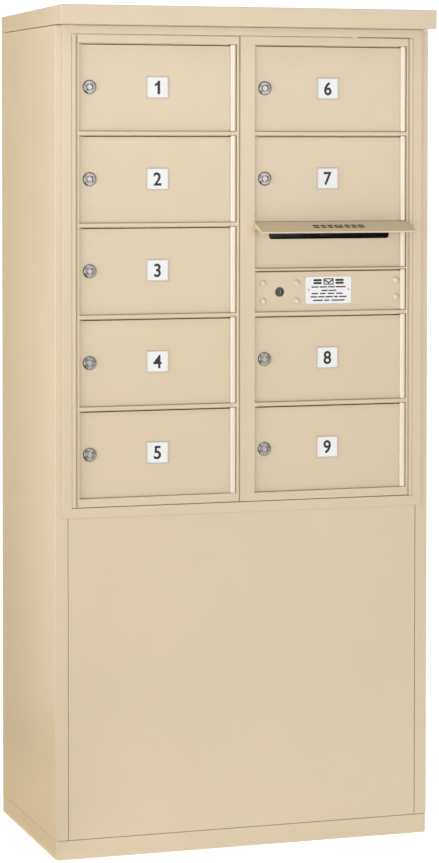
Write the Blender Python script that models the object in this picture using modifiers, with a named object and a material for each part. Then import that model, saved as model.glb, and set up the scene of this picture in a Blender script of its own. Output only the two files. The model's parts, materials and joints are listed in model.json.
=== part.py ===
"""Cluster mailbox unit: a free-standing cabinet with two master doors that carry nine tenant doors.

Metres, +Z up. The origin is on the floor at the centre of the footprint, and the fronts face -Y.
Positions across the front are measured from the cabinet's left side, and from_left() turns them into X.
"""

import math

import bmesh
import bpy
from mathutils import Matrix, Vector

# Cabinet
WIDTH, DEPTH, HEIGHT = 0.771, 0.430, 1.654
SHEET = 0.002
GAP = 0.0003
CAP_HEIGHT, CAP_OVERHANG, CAP_LIP = 0.0372, 0.0445, 0.020
CAP_FALL = 0.0053
PLINTH_HEIGHT = 0.0375
COVER_GAP = 0.0009
COVER_FOLD, COVER_OVERLAP = 0.016, 0.007
SHELF_GAP, SHELF_FOLD = 0.0011, 0.011
FRONT_FLANGE, BACK_FLANGE = 0.0245, 0.020
ANCHOR_INSET, ANCHOR_RADIUS = 0.060, 0.0065

# Trim round the door opening, and the hinge strips inside it
TRIM_INSET, TRIM_WIDTH, TRIM_BOTTOM = 0.013, 0.0195, 0.664
STRIP_WIDTH = {"left": 0.0093, "right": 0.0076}
STRIP_THICKNESS, STRIP_LEG = 0.003, 0.045

# Master doors: frames that pivot at their outer edges
UNIT_PITCH = 0.1778
UNITS = 5
MASTER_BOTTOM, MASTER_BORDER, MASTER_DEPTH = 0.6846, 0.0129, 0.0203
MASTER_AXIS_FROM_SIDE = {"left": 0.0430, "right": 0.0413}
MASTER_AXIS_SETBACK = 0.0008
MASTER_EDGE_GAP = 0.0009
MASTER_SPLIT = 0.3734
MASTER_ROD_RADIUS, MASTER_GROOVE, STRIP_GROOVE = 0.0012, 0.0015, 0.0018
RAIL_HEIGHT = 0.008
STOP_LIP = 0.008

# Tenant doors, hinged on a full-height barrel at their right edges
OPENING_WIDTH = 0.3191
OPENING_FROM_LEFT = {"left": 0.0481, "right": 0.4056}
DOOR_RECESS, DOOR_THICKNESS = 0.006, 0.003
DOOR_EDGE_GAP = 0.0006
LOCK_HOLE_GAP = 0.0004
BARREL_RADIUS, ROD_RADIUS, ROD_BORE = 0.006, 0.002, 0.0024
RAIL_END_DROP = 0.0012
BARREL_GAP, BARREL_SETBACK = 0.0005, 0.0002
ROD_END = 0.005

# Tenant locks
LOCK_INSET = 0.0213
LOCK_RING_RADIUS, LOCK_RING_PROUD = 0.014, 0.0040
LOCK_BARREL_RADIUS, LOCK_BARREL_LENGTH = 0.0095, 0.012
LOCK_CHAMFER, LOCK_COUNTERSINK, PLUG_SETBACK = 0.0012, 0.0028, 0.0014
PLUG_RADIUS, PLUG_BORE = 0.0062, 0.0067
KEYWAY_WIDTH, KEYWAY_HEIGHT, KEYWAY_DEPTH = 0.0012, 0.0080, 0.003
CAM_LENGTH, CAM_TAIL, CAM_WIDTH, CAM_THICKNESS, CAM_PROUD = 0.020, 0.007, 0.010, 0.002, 0.0005

# Compartment racks behind the master doors
RACK_SETBACK, RACK_BACK, RACK_SHEET = 0.030, 0.180, 0.0015
RACK_SPAN = {"left": (0.0424, 0.3720), "right": (0.3980, 0.7303)}

# Outgoing mail section and master lock section of the right-hand master door
SPLIT_RAIL_Z, SPLIT_RAIL_HEIGHT = 1.1410, 0.0045
HOOD_REACH, HOOD_TOP, HOOD_DROP, HOOD_SHEET = 0.044, 1.2350, 0.0185, 0.002
HOOD_FROM_LEFT = (0.4040, 0.7280)
HOOD_LIP, HOOD_ROOT = 0.0035, 0.0125
BAFFLE_DROP, BAFFLE_LEG, BAFFLE_REACH, BAFFLE_RISE = 0.006, 0.030, 0.034, 0.0060
BAFFLE_SHEET, BAFFLE_END_GAP = 0.0015, 0.004
SLOT_FROM_LEFT, SLOT_Z, SLOT_CORNER = (0.4355, 0.6890), (1.2008, 1.2185), 0.006
MASTER_LOCK_FROM_LEFT, MASTER_LOCK_Z = 0.4586, 1.0961
MASTER_LOCK_HOLE, MASTER_LOCK_RADIUS, MASTER_LOCK_LENGTH = 0.0095, 0.0090, 0.0205
MASTER_LOCK_SETBACK, MASTER_NUT = 0.0012, 0.004
MASTER_PLUG_RADIUS, MASTER_PLUG_BORE, MASTER_CAM_LENGTH = 0.0052, 0.0057, 0.026
MASTER_KEYWAY_WIDTH, MASTER_KEYWAY_HEIGHT, MASTER_KEYWAY_DEPTH = 0.0016, 0.0072, 0.004
STRIKE_DEPTH, STRIKE_HALF, STRIKE_LEG, STRIKE_TIP = 0.0235, 0.015, 0.040, 0.0045
BOLT_HEAD_RADIUS, BOLT_HEAD_HEIGHT, BOLT_SHANK = 0.0065, 0.0032, 0.0025
BRACKET_MARGIN = 0.0055
LOCK_BOLT_SPACING = (0.068, 0.0333)
END_BOLTS_FROM_LEFT, END_BOLTS_Z = 0.7036, (1.0844, 1.1160)
LABEL_FROM_LEFT, LABEL_Z, LABEL_THICKNESS = (0.5125, 0.6090), (1.0718, 1.1253), 0.0008

SEGMENTS = 16
BEYOND = 0.01  # how far a cutter runs past the face it cuts

FRONT = -DEPTH / 2
FACE = FRONT - GAP - SHEET
MASTER_TOP = MASTER_BOTTOM + 2 * MASTER_BORDER + UNITS * UNIT_PITCH - GAP
FIRST_LINE = MASTER_BOTTOM + MASTER_BORDER
CAP_BOTTOM = HEIGHT - CAP_HEIGHT
DOOR_FACE = FACE + DOOR_RECESS
BARREL_Y = FACE + BARREL_RADIUS + BARREL_SETBACK
PLATE_BACK = DOOR_FACE + DOOR_THICKNESS + GAP
RACK_FRONT = FACE + RACK_SETBACK

CREAM = (0.74, 0.63, 0.46)
STEEL = (0.55, 0.55, 0.56)
CHROME = (0.80, 0.80, 0.80)
WHITE = (0.90, 0.90, 0.88)


def from_left(distance):
    return distance - WIDTH / 2


def clear_scene():
    for obj in list(bpy.data.objects):
        bpy.data.objects.remove(obj, do_unlink=True)


def new_collection(name):
    collection = bpy.data.collections.new(name)
    bpy.context.scene.collection.children.link(collection)
    return collection


def finish(name, colour, roughness, metallic=0.0):
    """A new material for one sub-part."""
    material = bpy.data.materials.new(name)
    material.use_nodes = True
    shader = material.node_tree.nodes["Principled BSDF"]
    shader.inputs["Base Color"].default_value = (*colour, 1.0)
    shader.inputs["Roughness"].default_value = roughness
    shader.inputs["Metallic"].default_value = metallic
    return material


def paint(name):
    return finish(name + "_paint", CREAM, 0.42)


def add_object(name, mesh, origin, material=None):
    obj = bpy.data.objects.new(name, mesh)
    obj.location = origin
    parts.objects.link(obj)
    if material:
        mesh.materials.clear()
        mesh.materials.append(material)
    return obj


def box(name, low, high, origin=None, material=None):
    """A box between two corners, with its origin at its middle or at a given point."""
    low, high = Vector(low), Vector(high)
    centre = (low + high) / 2
    origin = centre if origin is None else Vector(origin)
    bm = bmesh.new()
    bmesh.ops.create_cube(bm, size=1.0)
    bmesh.ops.scale(bm, vec=high - low, verts=bm.verts)
    bmesh.ops.translate(bm, vec=centre - origin, verts=bm.verts)
    mesh = bpy.data.meshes.new(name)
    bm.to_mesh(mesh)
    bm.free()
    return add_object(name, mesh, origin, material)


def lower_back(obj, fall):
    """Let a box's top fall by a given amount from its front edge to its back edge."""
    for vertex in obj.data.vertices:
        if vertex.co.y > 0 and vertex.co.z > 0:
            vertex.co.z -= fall
    return obj


TURN_TO = {"y": Matrix.Rotation(math.pi / 2, 4, "X"), "z": Matrix()}


def rod(name, radius, low, high, axis="z", segments=SEGMENTS, material=None, top_radius=None):
    """A cylinder or cone between two points on one axis, shaded smooth."""
    low, high = Vector(low), Vector(high)
    bm = bmesh.new()
    bmesh.ops.create_cone(
        bm, cap_ends=True, segments=segments, depth=(high - low).length,
        radius1=radius, radius2=radius if top_radius is None else top_radius,
    )
    bmesh.ops.transform(bm, matrix=TURN_TO[axis], verts=bm.verts)
    mesh = bpy.data.meshes.new(name)
    bm.to_mesh(mesh)
    bm.free()
    mesh.shade_smooth()
    mesh.set_sharp_from_angle(angle=math.radians(40))
    return add_object(name, mesh, (low + high) / 2, material)


def turned(name, profile, origin, segments=SEGMENTS, material=None):
    """A closed profile of (radius, forward) points turned about the Y axis through the origin."""
    mesh = bpy.data.meshes.new(name)
    count = len(profile)
    mesh.from_pydata(
        [(radius, 0.0, forward) for radius, forward in profile],
        [(i, (i + 1) % count) for i in range(count)], [],
    )
    obj = add_object(name, mesh, origin, material)
    obj.rotation_euler = (math.pi / 2, 0, 0)
    screw = obj.modifiers.new("turn", "SCREW")
    screw.steps = segments
    screw.render_steps = segments
    screw.use_merge_vertices = True
    screw.merge_threshold = 0.00005
    return obj


def outline(name, points, low_x, high_x, material=None):
    """A flat outline of (y, z) points extruded along X, as a mesh."""
    curve = bpy.data.curves.new(name, "CURVE")
    curve.dimensions = "2D"
    curve.fill_mode = "BOTH"
    curve.extrude = (high_x - low_x) / 2
    spline = curve.splines.new("POLY")
    spline.points.add(len(points) - 1)
    for point, (y, z) in zip(spline.points, points):
        point.co = (y, z, 0, 1)
    spline.use_cyclic_u = True
    guide = bpy.data.objects.new(name + "_outline", curve)
    guide.matrix_world = Matrix.Translation(((low_x + high_x) / 2, 0, 0)) @ Matrix(
        ((0, 0, 1, 0), (1, 0, 0, 0), (0, 1, 0, 0), (0, 0, 0, 1))
    )
    return to_mesh(guide, name, material)


def to_mesh(guide, name, material=None):
    """The evaluated shape of a curve or of an object with modifiers, as one plain mesh object."""
    if not guide.users_collection:
        parts.objects.link(guide)
    bpy.context.view_layer.update()
    graph = bpy.context.evaluated_depsgraph_get()
    mesh = bpy.data.meshes.new_from_object(guide.evaluated_get(graph), depsgraph=graph)
    mesh.name = name
    bm = bmesh.new()
    bm.from_mesh(mesh)
    bmesh.ops.remove_doubles(bm, verts=bm.verts, dist=0.00001)
    bmesh.ops.recalc_face_normals(bm, faces=bm.faces)
    bm.to_mesh(mesh)
    bm.free()
    matrix = guide.matrix_world.copy()
    bpy.data.objects.remove(guide, do_unlink=True)
    obj = add_object(name, mesh, (0, 0, 0), material)
    obj.matrix_world = matrix
    return obj


def as_tool(obj):
    """Takes an object out of the model and keeps it as a cutter or as a shape to be joined."""
    obj.hide_render = True
    obj.display_type = "WIRE"
    parts.objects.unlink(obj)
    cutters.objects.link(obj)
    return obj


def boolean(obj, tools, operation):
    for tool in tools:
        modifier = obj.modifiers.new(operation.lower(), "BOOLEAN")
        modifier.operation = operation
        modifier.solver = "EXACT"
        modifier.object = as_tool(tool)
    return obj


def cut(obj, *tools):
    return boolean(obj, tools, "DIFFERENCE")


def join(obj, *tools):
    return boolean(obj, tools, "UNION")


def copy_at(name, source, location, material):
    """Another object with the same mesh, at its own place."""
    obj = bpy.data.objects.new(name, source.data)
    obj.matrix_world = Matrix.Translation(location) @ source.matrix_world
    parts.objects.link(obj)
    if not source.data.materials:
        source.data.materials.append(material)
    obj.material_slots[0].link = "OBJECT"
    obj.material_slots[0].material = material
    return obj


# ---------------------------------------------------------------- cabinet


def side_panel(side):
    """A side sheet folded inwards along its front and back edges, for the left side or the right."""
    name = "side_panel_" + side
    sign = -1 if side == "left" else 1
    outer = sign * WIDTH / 2
    bottom, top = PLINTH_HEIGHT + GAP, CAP_BOTTOM - GAP
    back = DEPTH / 2 - SHEET - GAP

    def span(inset_a, inset_b):
        return sorted((outer - sign * inset_a, outer - sign * inset_b))

    x = span(0, FRONT_FLANGE)
    panel = box(name, (x[0], FRONT, bottom), (x[1], back, top), material=paint(name))
    hollow = span(SHEET, FRONT_FLANGE + BEYOND)
    inside = box(
        name + "_inside", (hollow[0], FRONT + SHEET, bottom - BEYOND),
        (hollow[1], back - SHEET, top + BEYOND),
    )
    shorten = span(BACK_FLANGE, FRONT_FLANGE + BEYOND)
    edge = box(
        name + "_edge", (shorten[0], 0, bottom - 2 * BEYOND), (shorten[1], back + BEYOND, top + 2 * BEYOND)
    )
    return cut(panel, inside, edge)


def back_panel():
    half = WIDTH / 2
    return box(
        "back_panel", (-half, DEPTH / 2 - SHEET, PLINTH_HEIGHT + GAP),
        (half, DEPTH / 2, CAP_BOTTOM - GAP), material=paint("back_panel"),
    )


def top_cap():
    """An upturned tray that oversails the front and falls to the back, its edges returned underneath."""
    half = WIDTH / 2
    front, back = FRONT - CAP_OVERHANG, DEPTH / 2
    cap = box("top_cap", (-half, front, CAP_BOTTOM), (half, back, HEIGHT), material=paint("top_cap"))
    hollow = box(
        "top_cap_hollow", (-half + SHEET, front + SHEET, CAP_BOTTOM + SHEET),
        (half - SHEET, back - SHEET, HEIGHT - SHEET),
    )
    mouth = box(
        "top_cap_mouth", (-half + CAP_LIP, FRONT + CAP_LIP, CAP_BOTTOM - BEYOND),
        (half - CAP_LIP, back - CAP_LIP, CAP_BOTTOM + BEYOND),
    )
    return cut(lower_back(cap, CAP_FALL), lower_back(hollow, CAP_FALL), mouth)


def base_plinth():
    """A floor tray with four holes for floor anchors."""
    half = WIDTH / 2
    back = DEPTH / 2
    plinth = box(
        "base_plinth", (-half, FRONT, 0), (half, back, PLINTH_HEIGHT), material=paint("base_plinth")
    )
    hollow = box(
        "base_plinth_hollow", (-half + SHEET, FRONT + SHEET, SHEET * 1.5),
        (half - SHEET, back - SHEET, PLINTH_HEIGHT + BEYOND),
    )
    holes = []
    for x in (-half + ANCHOR_INSET, half - ANCHOR_INSET):
        for y in (FRONT + ANCHOR_INSET, back - ANCHOR_INSET):
            low, high = (x, y, -BEYOND), (x, y, 2 * BEYOND)
            holes.append(rod("base_plinth_hole", ANCHOR_RADIUS, low, high, segments=12))
    return cut(plinth, hollow, *holes)


def lower_front_panel():
    """The cover below the doors: a sheet with its two side edges folded back."""
    half = WIDTH / 2 - FRONT_FLANGE - COVER_GAP
    bottom, top = PLINTH_HEIGHT + COVER_GAP, TRIM_BOTTOM + COVER_OVERLAP
    panel = box(
        "lower_front_panel", (-half, FRONT, bottom), (half, FRONT + COVER_FOLD, top),
        material=paint("lower_front_panel"),
    )
    hollow = box(
        "lower_front_panel_hollow", (-half + SHEET, FRONT + SHEET, bottom - BEYOND),
        (half - SHEET, FRONT + COVER_FOLD + BEYOND, top + BEYOND),
    )
    return cut(panel, hollow)


def support_shelf():
    """The shelf that carries the compartment racks, with its front edge turned down behind the trim."""
    half = WIDTH / 2 - SHEET - GAP
    top = MASTER_BOTTOM - SHELF_GAP
    front, back = FRONT + SHEET + GAP, DEPTH / 2 - 2 * SHEET - 2 * GAP
    shelf = box(
        "support_shelf", (-half, front, top - SHELF_FOLD), (half, back, top),
        material=paint("support_shelf"),
    )
    below = box(
        "support_shelf_below", (-half - BEYOND, front + SHEET, top - SHELF_FOLD - BEYOND),
        (half + BEYOND, back + BEYOND, top - SHEET),
    )
    return cut(shelf, below)


def trim_piece(side, outer, inner):
    """One mitred side of the flat frame between an outer and an inner (x0, z0, x1, z1) rectangle."""
    name = "trim_" + side
    ox0, oz0, ox1, oz1 = outer
    ix0, iz0, ix1, iz1 = inner
    corners = {
        "bottom": ((ox0, oz0), (ox1, oz0), (ix1, iz0), (ix0, iz0)),
        "right": ((ox1, oz0), (ox1, oz1), (ix1, iz1), (ix1, iz0)),
        "top": ((ox1, oz1), (ox0, oz1), (ix0, iz1), (ix1, iz1)),
        "left": ((ox0, oz1), (ox0, oz0), (ix0, iz0), (ix0, iz1)),
    }[side]
    centre = sum((Vector((x, 0, z)) for x, z in corners), Vector()) / 4
    bm = bmesh.new()
    ring = []
    for x, z in corners:
        shrink = (Vector((x, 0, z)) - centre).normalized() * (GAP / 2)
        ring.append(bm.verts.new(Vector((x, FRONT - GAP, z)) - shrink))
    face = bm.faces.new(ring)
    moved = bmesh.ops.extrude_face_region(bm, geom=[face])["geom"]
    moved = [v for v in moved if isinstance(v, bmesh.types.BMVert)]
    bmesh.ops.translate(bm, vec=(0, -SHEET, 0), verts=moved)
    bmesh.ops.recalc_face_normals(bm, faces=bm.faces)
    mesh = bpy.data.meshes.new(name)
    bm.to_mesh(mesh)
    bm.free()
    return add_object(name, mesh, (0, 0, 0), paint(name))


def trim():
    half = WIDTH / 2 - TRIM_INSET
    outer = (-half, TRIM_BOTTOM, half, CAP_BOTTOM - GAP)
    inner = (
        -half + TRIM_WIDTH, MASTER_BOTTOM - MASTER_EDGE_GAP, half - TRIM_WIDTH, MASTER_TOP + MASTER_EDGE_GAP
    )
    for side in ("top", "bottom", "left", "right"):
        trim_piece(side, outer, inner)


def master_axis(side):
    """The (x, y) of a master door's upright pivot axis."""
    sign = -1 if side == "left" else 1
    return sign * (WIDTH / 2 - MASTER_AXIS_FROM_SIDE[side]), FACE + MASTER_AXIS_SETBACK


def hinge_strip(side):
    """The fixed leaf of a master door's hinge: an angle with a groove for the hinge rod."""
    name = "master_hinge_strip_" + side
    sign = -1 if side == "left" else 1
    axis_x, axis_y = master_axis(side)
    inner = axis_x + sign * MASTER_EDGE_GAP
    outer = inner + sign * STRIP_WIDTH[side]
    x = sorted((inner, outer))
    back = FACE + STRIP_LEG
    strip = box(name, (x[0], FACE, MASTER_BOTTOM), (x[1], back, MASTER_TOP), material=paint(name))
    leg = sorted((inner + sign * SHEET, outer + sign * BEYOND))
    behind = box(
        name + "_behind", (leg[0], FACE + STRIP_THICKNESS, MASTER_BOTTOM - BEYOND),
        (leg[1], back + BEYOND, MASTER_TOP + BEYOND),
    )
    groove = rod(
        name + "_groove", STRIP_GROOVE, (axis_x, axis_y, MASTER_BOTTOM - BEYOND),
        (axis_x, axis_y, MASTER_TOP + BEYOND), segments=12,
    )
    return cut(strip, behind, groove)


def master_rod(side):
    name = "master_hinge_rod_" + side
    x, y = master_axis(side)
    return rod(
        name, MASTER_ROD_RADIUS, (x, y, MASTER_BOTTOM), (x, y, MASTER_TOP),
        segments=12, material=finish(name + "_steel", STEEL, 0.35, 1.0),
    )


def unit_line(number):
    """The height of the dividing line under the numbered unit, counted from the bottom."""
    return FIRST_LINE + number * UNIT_PITCH


def section_heights(side):
    """(bottom, top) of each section of a master door, between two dividing lines, bottom first."""
    lines = [unit_line(i) for i in range(UNITS + 1)]
    if side == "right":
        lines.insert(3, SPLIT_RAIL_Z)
    return list(zip(lines[:-1], lines[1:]))


def rail_half(line):
    """Half the height of the rail on a dividing line. The rail over the lock panel is a narrow one."""
    return (SPLIT_RAIL_HEIGHT if line == SPLIT_RAIL_Z else RAIL_HEIGHT) / 2


def rack(side):
    """One column's compartments: walls, back and shelves welded into one open-fronted piece."""
    name = "compartment_rack_" + side
    left, right = (from_left(d) for d in RACK_SPAN[side])
    bottom, top = MASTER_BOTTOM - SHELF_GAP + GAP, MASTER_TOP
    steel = finish(name + "_steel", STEEL, 0.5, 0.8)
    shell = box(name, (left, RACK_FRONT, bottom), (right, RACK_BACK, top), material=steel)
    inner = (left + RACK_SHEET, right - RACK_SHEET)
    spaces = []
    for low, high in section_heights(side):
        spaces.append(box(
            name + "_space", (inner[0], RACK_FRONT - BEYOND, low + RACK_SHEET / 2),
            (inner[1], RACK_BACK - RACK_SHEET, high - RACK_SHEET / 2),
        ))
    lowest, highest = FIRST_LINE - RACK_SHEET, unit_line(UNITS) + RACK_SHEET
    for low, high in ((bottom - BEYOND, lowest), (highest, top + BEYOND)):
        spaces.append(box(
            name + "_space", (inner[0], RACK_FRONT - BEYOND, low), (inner[1], RACK_BACK + BEYOND, high)
        ))
    return cut(shell, *spaces)


# ---------------------------------------------------------------- master doors


def opening(side):
    left = from_left(OPENING_FROM_LEFT[side])
    return left, left + OPENING_WIDTH


def barrel_x(side):
    return opening(side)[1] - BARREL_GAP - BARREL_RADIUS


def master_door(side):
    """A frame of stiles and rails, rebated so that each door closes against a stop lip."""
    name = "master_door_" + side
    axis_x, axis_y = master_axis(side)
    if side == "left":
        x = (axis_x + MASTER_EDGE_GAP, from_left(MASTER_SPLIT) - MASTER_EDGE_GAP)
    else:
        x = (from_left(MASTER_SPLIT) + MASTER_EDGE_GAP, axis_x - MASTER_EDGE_GAP)
    frame = box(
        name, (x[0], FACE, MASTER_BOTTOM), (x[1], FACE + MASTER_DEPTH, MASTER_TOP),
        origin=(axis_x, axis_y, MASTER_BOTTOM), material=paint(name),
    )
    left, right = opening(side)
    front, back = FACE - BEYOND, FACE + MASTER_DEPTH + BEYOND
    barrel_left = barrel_x(side) - BARREL_RADIUS - BARREL_GAP
    tools = []
    for low, high in section_heights(side):
        low += rail_half(low)
        high -= rail_half(high)
        tools.append(box(name + "_rebate", (left, front, low), (right, PLATE_BACK, high)))
        tools.append(box(
            name + "_window", (left + STOP_LIP, front, low + STOP_LIP), (right, back, high - STOP_LIP)
        ))
        tools.append(box(name + "_barrel_space", (barrel_left, front, low), (right, back, high)))
    for line, _ in section_heights(side)[1:]:
        half = rail_half(line) + SHEET / 2
        tools.append(box(
            name + "_rail_end", (barrel_left, front, line - half),
            (right, FACE + RAIL_END_DROP, line + half),
        ))
    bore_end = ROD_END + BARREL_GAP
    tools.append(rod(
        name + "_rod_bore", ROD_BORE, (barrel_x(side), BARREL_Y, FIRST_LINE - bore_end),
        (barrel_x(side), BARREL_Y, unit_line(UNITS) + bore_end), segments=12,
    ))
    tools.append(rod(
        name + "_groove", MASTER_GROOVE, (axis_x, axis_y, MASTER_BOTTOM - BEYOND),
        (axis_x, axis_y, MASTER_TOP + BEYOND), segments=12,
    ))
    return cut(frame, *tools)


def tenant_rod(side):
    name = "tenant_hinge_rod_" + side
    x = barrel_x(side)
    return rod(
        name, ROD_RADIUS, (x, BARREL_Y, FIRST_LINE - ROD_END), (x, BARREL_Y, unit_line(UNITS) + ROD_END),
        segments=12, material=finish(name + "_steel", STEEL, 0.35, 1.0),
    )


def barrel_and_plate(name, height):
    """A plate with its hinge barrel, drawn round the barrel's axis at the middle of its height."""
    left = -OPENING_WIDTH + BARREL_GAP + BARREL_RADIUS + DOOR_EDGE_GAP
    front = DOOR_FACE - BARREL_Y
    half = height / 2
    plate = box(name, (left, front, -half), (0, front + DOOR_THICKNESS, half), origin=(0, 0, 0))
    join(plate, rod(name + "_barrel", BARREL_RADIUS, (0, 0, -half), (0, 0, half), segments=20))
    ends = (0, 0, -half - BEYOND), (0, 0, half + BEYOND)
    return cut(plate, rod(name + "_bore", ROD_BORE, *ends, segments=12))


# ---------------------------------------------------------------- tenant doors and locks


def lock_place():
    """The lock's centre from the hinge barrel's axis, on the door's face."""
    return Vector((LOCK_INSET - OPENING_WIDTH + BARREL_GAP + BARREL_RADIUS, DOOR_FACE - BARREL_Y, 0))


def tenant_door_shape():
    height = UNIT_PITCH - RAIL_HEIGHT - 2 * DOOR_EDGE_GAP
    door = barrel_and_plate("tenant_door", height)
    place = lock_place()
    along = Vector((0, BEYOND, 0))
    hole = rod("door_lock_hole", LOCK_BARREL_RADIUS + LOCK_HOLE_GAP, place + along, place - along, axis="y")
    cut(door, hole)
    return to_mesh(door, "tenant_door_shape")


def lock_body_shape():
    """A stepped bezel in front of the door and a barrel through it, hollow for the plug."""
    length = DOOR_THICKNESS + LOCK_BARREL_LENGTH
    ring, barrel, bore = LOCK_RING_RADIUS, LOCK_BARREL_RADIUS, PLUG_BORE
    proud, chamfer = LOCK_RING_PROUD, LOCK_CHAMFER
    profile = [
        (ring - chamfer, proud), (ring, proud - chamfer), (ring, GAP), (barrel, GAP),
        (barrel, -length), (bore, -length), (bore, proud - chamfer), (bore + LOCK_COUNTERSINK, proud),
    ]
    return to_mesh(turned("lock_body", profile, (0, 0, 0)), "lock_body_shape")


def lock_plug_shape():
    """The key plug with its cam, which hangs straight down when the door is unlocked."""
    front = PLUG_SETBACK - LOCK_RING_PROUD
    back = DOOR_THICKNESS + LOCK_BARREL_LENGTH + GAP
    end = back + CAM_THICKNESS
    plug = rod("lock_plug", PLUG_RADIUS, (0, front, 0), (0, end, 0), axis="y")
    plug = to_mesh(plug, "lock_plug_core")
    x, z = KEYWAY_WIDTH / 2, KEYWAY_HEIGHT / 2
    keyway = box("lock_plug_keyway", (-x, front - BEYOND, -z), (x, front + KEYWAY_DEPTH, z))
    half = CAM_WIDTH / 2
    cam = box("lock_plug_cam", (-half, back, -CAM_LENGTH), (half, end + CAM_PROUD, CAM_TAIL))
    cut(plug, keyway)
    join(plug, cam)
    return to_mesh(plug, "lock_plug_shape")


def tenant_number(side, index):
    """Doors are numbered down the left column and then down the right."""
    sections = section_heights(side)[::-1]
    if side == "left":
        return index + 1, sections[index]
    keep = [sections[0], sections[1], sections[4], sections[5]]
    return index + UNITS + 1, keep[index]


def tenant_doors():
    door, body, plug = tenant_door_shape(), lock_body_shape(), lock_plug_shape()
    for side, count in (("left", 5), ("right", 4)):
        for index in range(count):
            number, (low, high) = tenant_number(side, index)
            axis = Vector((barrel_x(side), BARREL_Y, (low + high) / 2))
            lock = axis + lock_place()
            copy_at(f"tenant_door_{number}", door, axis, paint(f"tenant_door_{number}"))
            chrome = finish(f"lock_body_{number}_chrome", CHROME, 0.2, 1.0)
            steel = finish(f"lock_plug_{number}_steel", STEEL, 0.3, 1.0)
            copy_at(f"lock_body_{number}", body, lock, chrome)
            copy_at(f"lock_plug_{number}", plug, lock, steel)
    for shape in (door, body, plug):
        bpy.data.objects.remove(shape, do_unlink=True)


# ---------------------------------------------------------------- outgoing mail and master lock


def section_panel(name, low, high):
    """A fixed panel in the right-hand column, with the same edge barrel as a tenant door."""
    low += rail_half(low) + DOOR_EDGE_GAP
    high -= rail_half(high) + DOOR_EDGE_GAP
    panel = to_mesh(barrel_and_plate(name + "_blank", high - low), name, paint(name))
    panel.location = (barrel_x("right"), BARREL_Y, (low + high) / 2)
    return panel


def outgoing_panel():
    low, high = section_heights("right")[3]
    panel = section_panel("outgoing_panel", low, high)
    x0, x1 = (from_left(d) for d in SLOT_FROM_LEFT)
    z0, z1 = SLOT_Z
    slot = box("outgoing_slot", (x0, DOOR_FACE - BEYOND, z0), (x1, DOOR_FACE + 2 * BEYOND, z1))
    bevel = slot.modifiers.new("round_corners", "BEVEL")
    bevel.width = SLOT_CORNER
    bevel.segments = 4
    bevel.limit_method = "WEIGHT"
    weights = slot.data.attributes.new("bevel_weight_edge", "FLOAT", "EDGE")
    for edge in slot.data.edges:
        a, b = (slot.data.vertices[v].co for v in edge.vertices)
        weights.data[edge.index].value = 1.0 if abs(a.y - b.y) > BEYOND else 0.0
    return cut(panel, slot)


def outgoing_hood():
    """A sheet canopy that slopes down and forward over the slot, with turned-down edges."""
    x0, x1 = (from_left(d) for d in HOOD_FROM_LEFT)
    back, front = FACE - GAP, FACE - HOOD_REACH
    top, low = HOOD_TOP, HOOD_TOP - HOOD_DROP
    side = [(back, top), (front, low), (front, low - HOOD_LIP), (back, top - HOOD_ROOT)]
    hood = outline("outgoing_hood", side, x0, x1, paint("outgoing_hood"))
    slope = HOOD_DROP / HOOD_REACH
    inner_front, inner_back = front + HOOD_SHEET, back - HOOD_SHEET
    below = top - HOOD_ROOT - 2 * BEYOND
    hollow = [
        (inner_back, top - HOOD_SHEET - slope * HOOD_SHEET - GAP),
        (inner_front, low - HOOD_SHEET + slope * HOOD_SHEET), (inner_front, below), (inner_back, below),
    ]
    under = outline("outgoing_hood_under", hollow, x0 + HOOD_SHEET, x1 - HOOD_SHEET)
    return cut(hood, under)


def slot_baffle():
    """A bent plate behind the slot, which keeps a hand from reaching in."""
    x0, x1 = (from_left(d) for d in SLOT_FROM_LEFT)
    name = "slot_baffle"
    y, z = PLATE_BACK, SLOT_Z[0] - BAFFLE_DROP
    inner_y, low, rear = y + BAFFLE_SHEET, z - BAFFLE_LEG, y + BAFFLE_REACH
    rise = z + BAFFLE_RISE
    section = [
        (y, z), (y, low), (inner_y, low), (inner_y, z - BAFFLE_SHEET),
        (rear, rise), (rear, rise + BAFFLE_SHEET),
    ]
    gap = BAFFLE_END_GAP
    return outline(name, section, x0 + gap, x1 - gap, finish(name + "_steel", STEEL, 0.5, 0.8))


def lock_bolts():
    x, z = from_left(MASTER_LOCK_FROM_LEFT), MASTER_LOCK_Z
    dx, dz = (spacing / 2 for spacing in LOCK_BOLT_SPACING)
    return [(x - dx, z - dz), (x - dx, z + dz), (x + dx, z - dz), (x + dx, z + dz)]


def end_bolts():
    return [(from_left(END_BOLTS_FROM_LEFT), z) for z in END_BOLTS_Z]


def lock_panel():
    low, high = section_heights("right")[2]
    panel = section_panel("lock_panel", low, high)
    x, z = from_left(MASTER_LOCK_FROM_LEFT), MASTER_LOCK_Z
    front, back = DOOR_FACE - BEYOND, DOOR_FACE + BEYOND
    tools = [rod("lock_panel_hole", MASTER_LOCK_HOLE, (x, front, z), (x, back, z), axis="y")]
    for bolt_x, bolt_z in lock_bolts() + end_bolts():
        tools.append(rod(
            "lock_panel_bolt_hole", BOLT_SHANK + BARREL_GAP, (bolt_x, front, bolt_z),
            (bolt_x, back, bolt_z), axis="y", segments=10,
        ))
    return cut(panel, *tools)


def dome_bolt(x, z, through):
    """A dome-headed bolt whose head sits on the panel, as shapes to be joined."""
    face = DOOR_FACE - GAP
    profile = [(0.0, BOLT_HEAD_HEIGHT)]
    for step in range(1, 5):
        angle = step * math.pi / 8
        profile.append((BOLT_HEAD_RADIUS * math.sin(angle), BOLT_HEAD_HEIGHT * math.cos(angle)))
    profile[-1] = (BOLT_HEAD_RADIUS, 0.0)
    profile += [(BOLT_SHANK, 0.0), (BOLT_SHANK, -through), (0.0, -through)]
    return to_mesh(turned("bolt", profile, (x, face, z), segments=12), "bolt")


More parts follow.
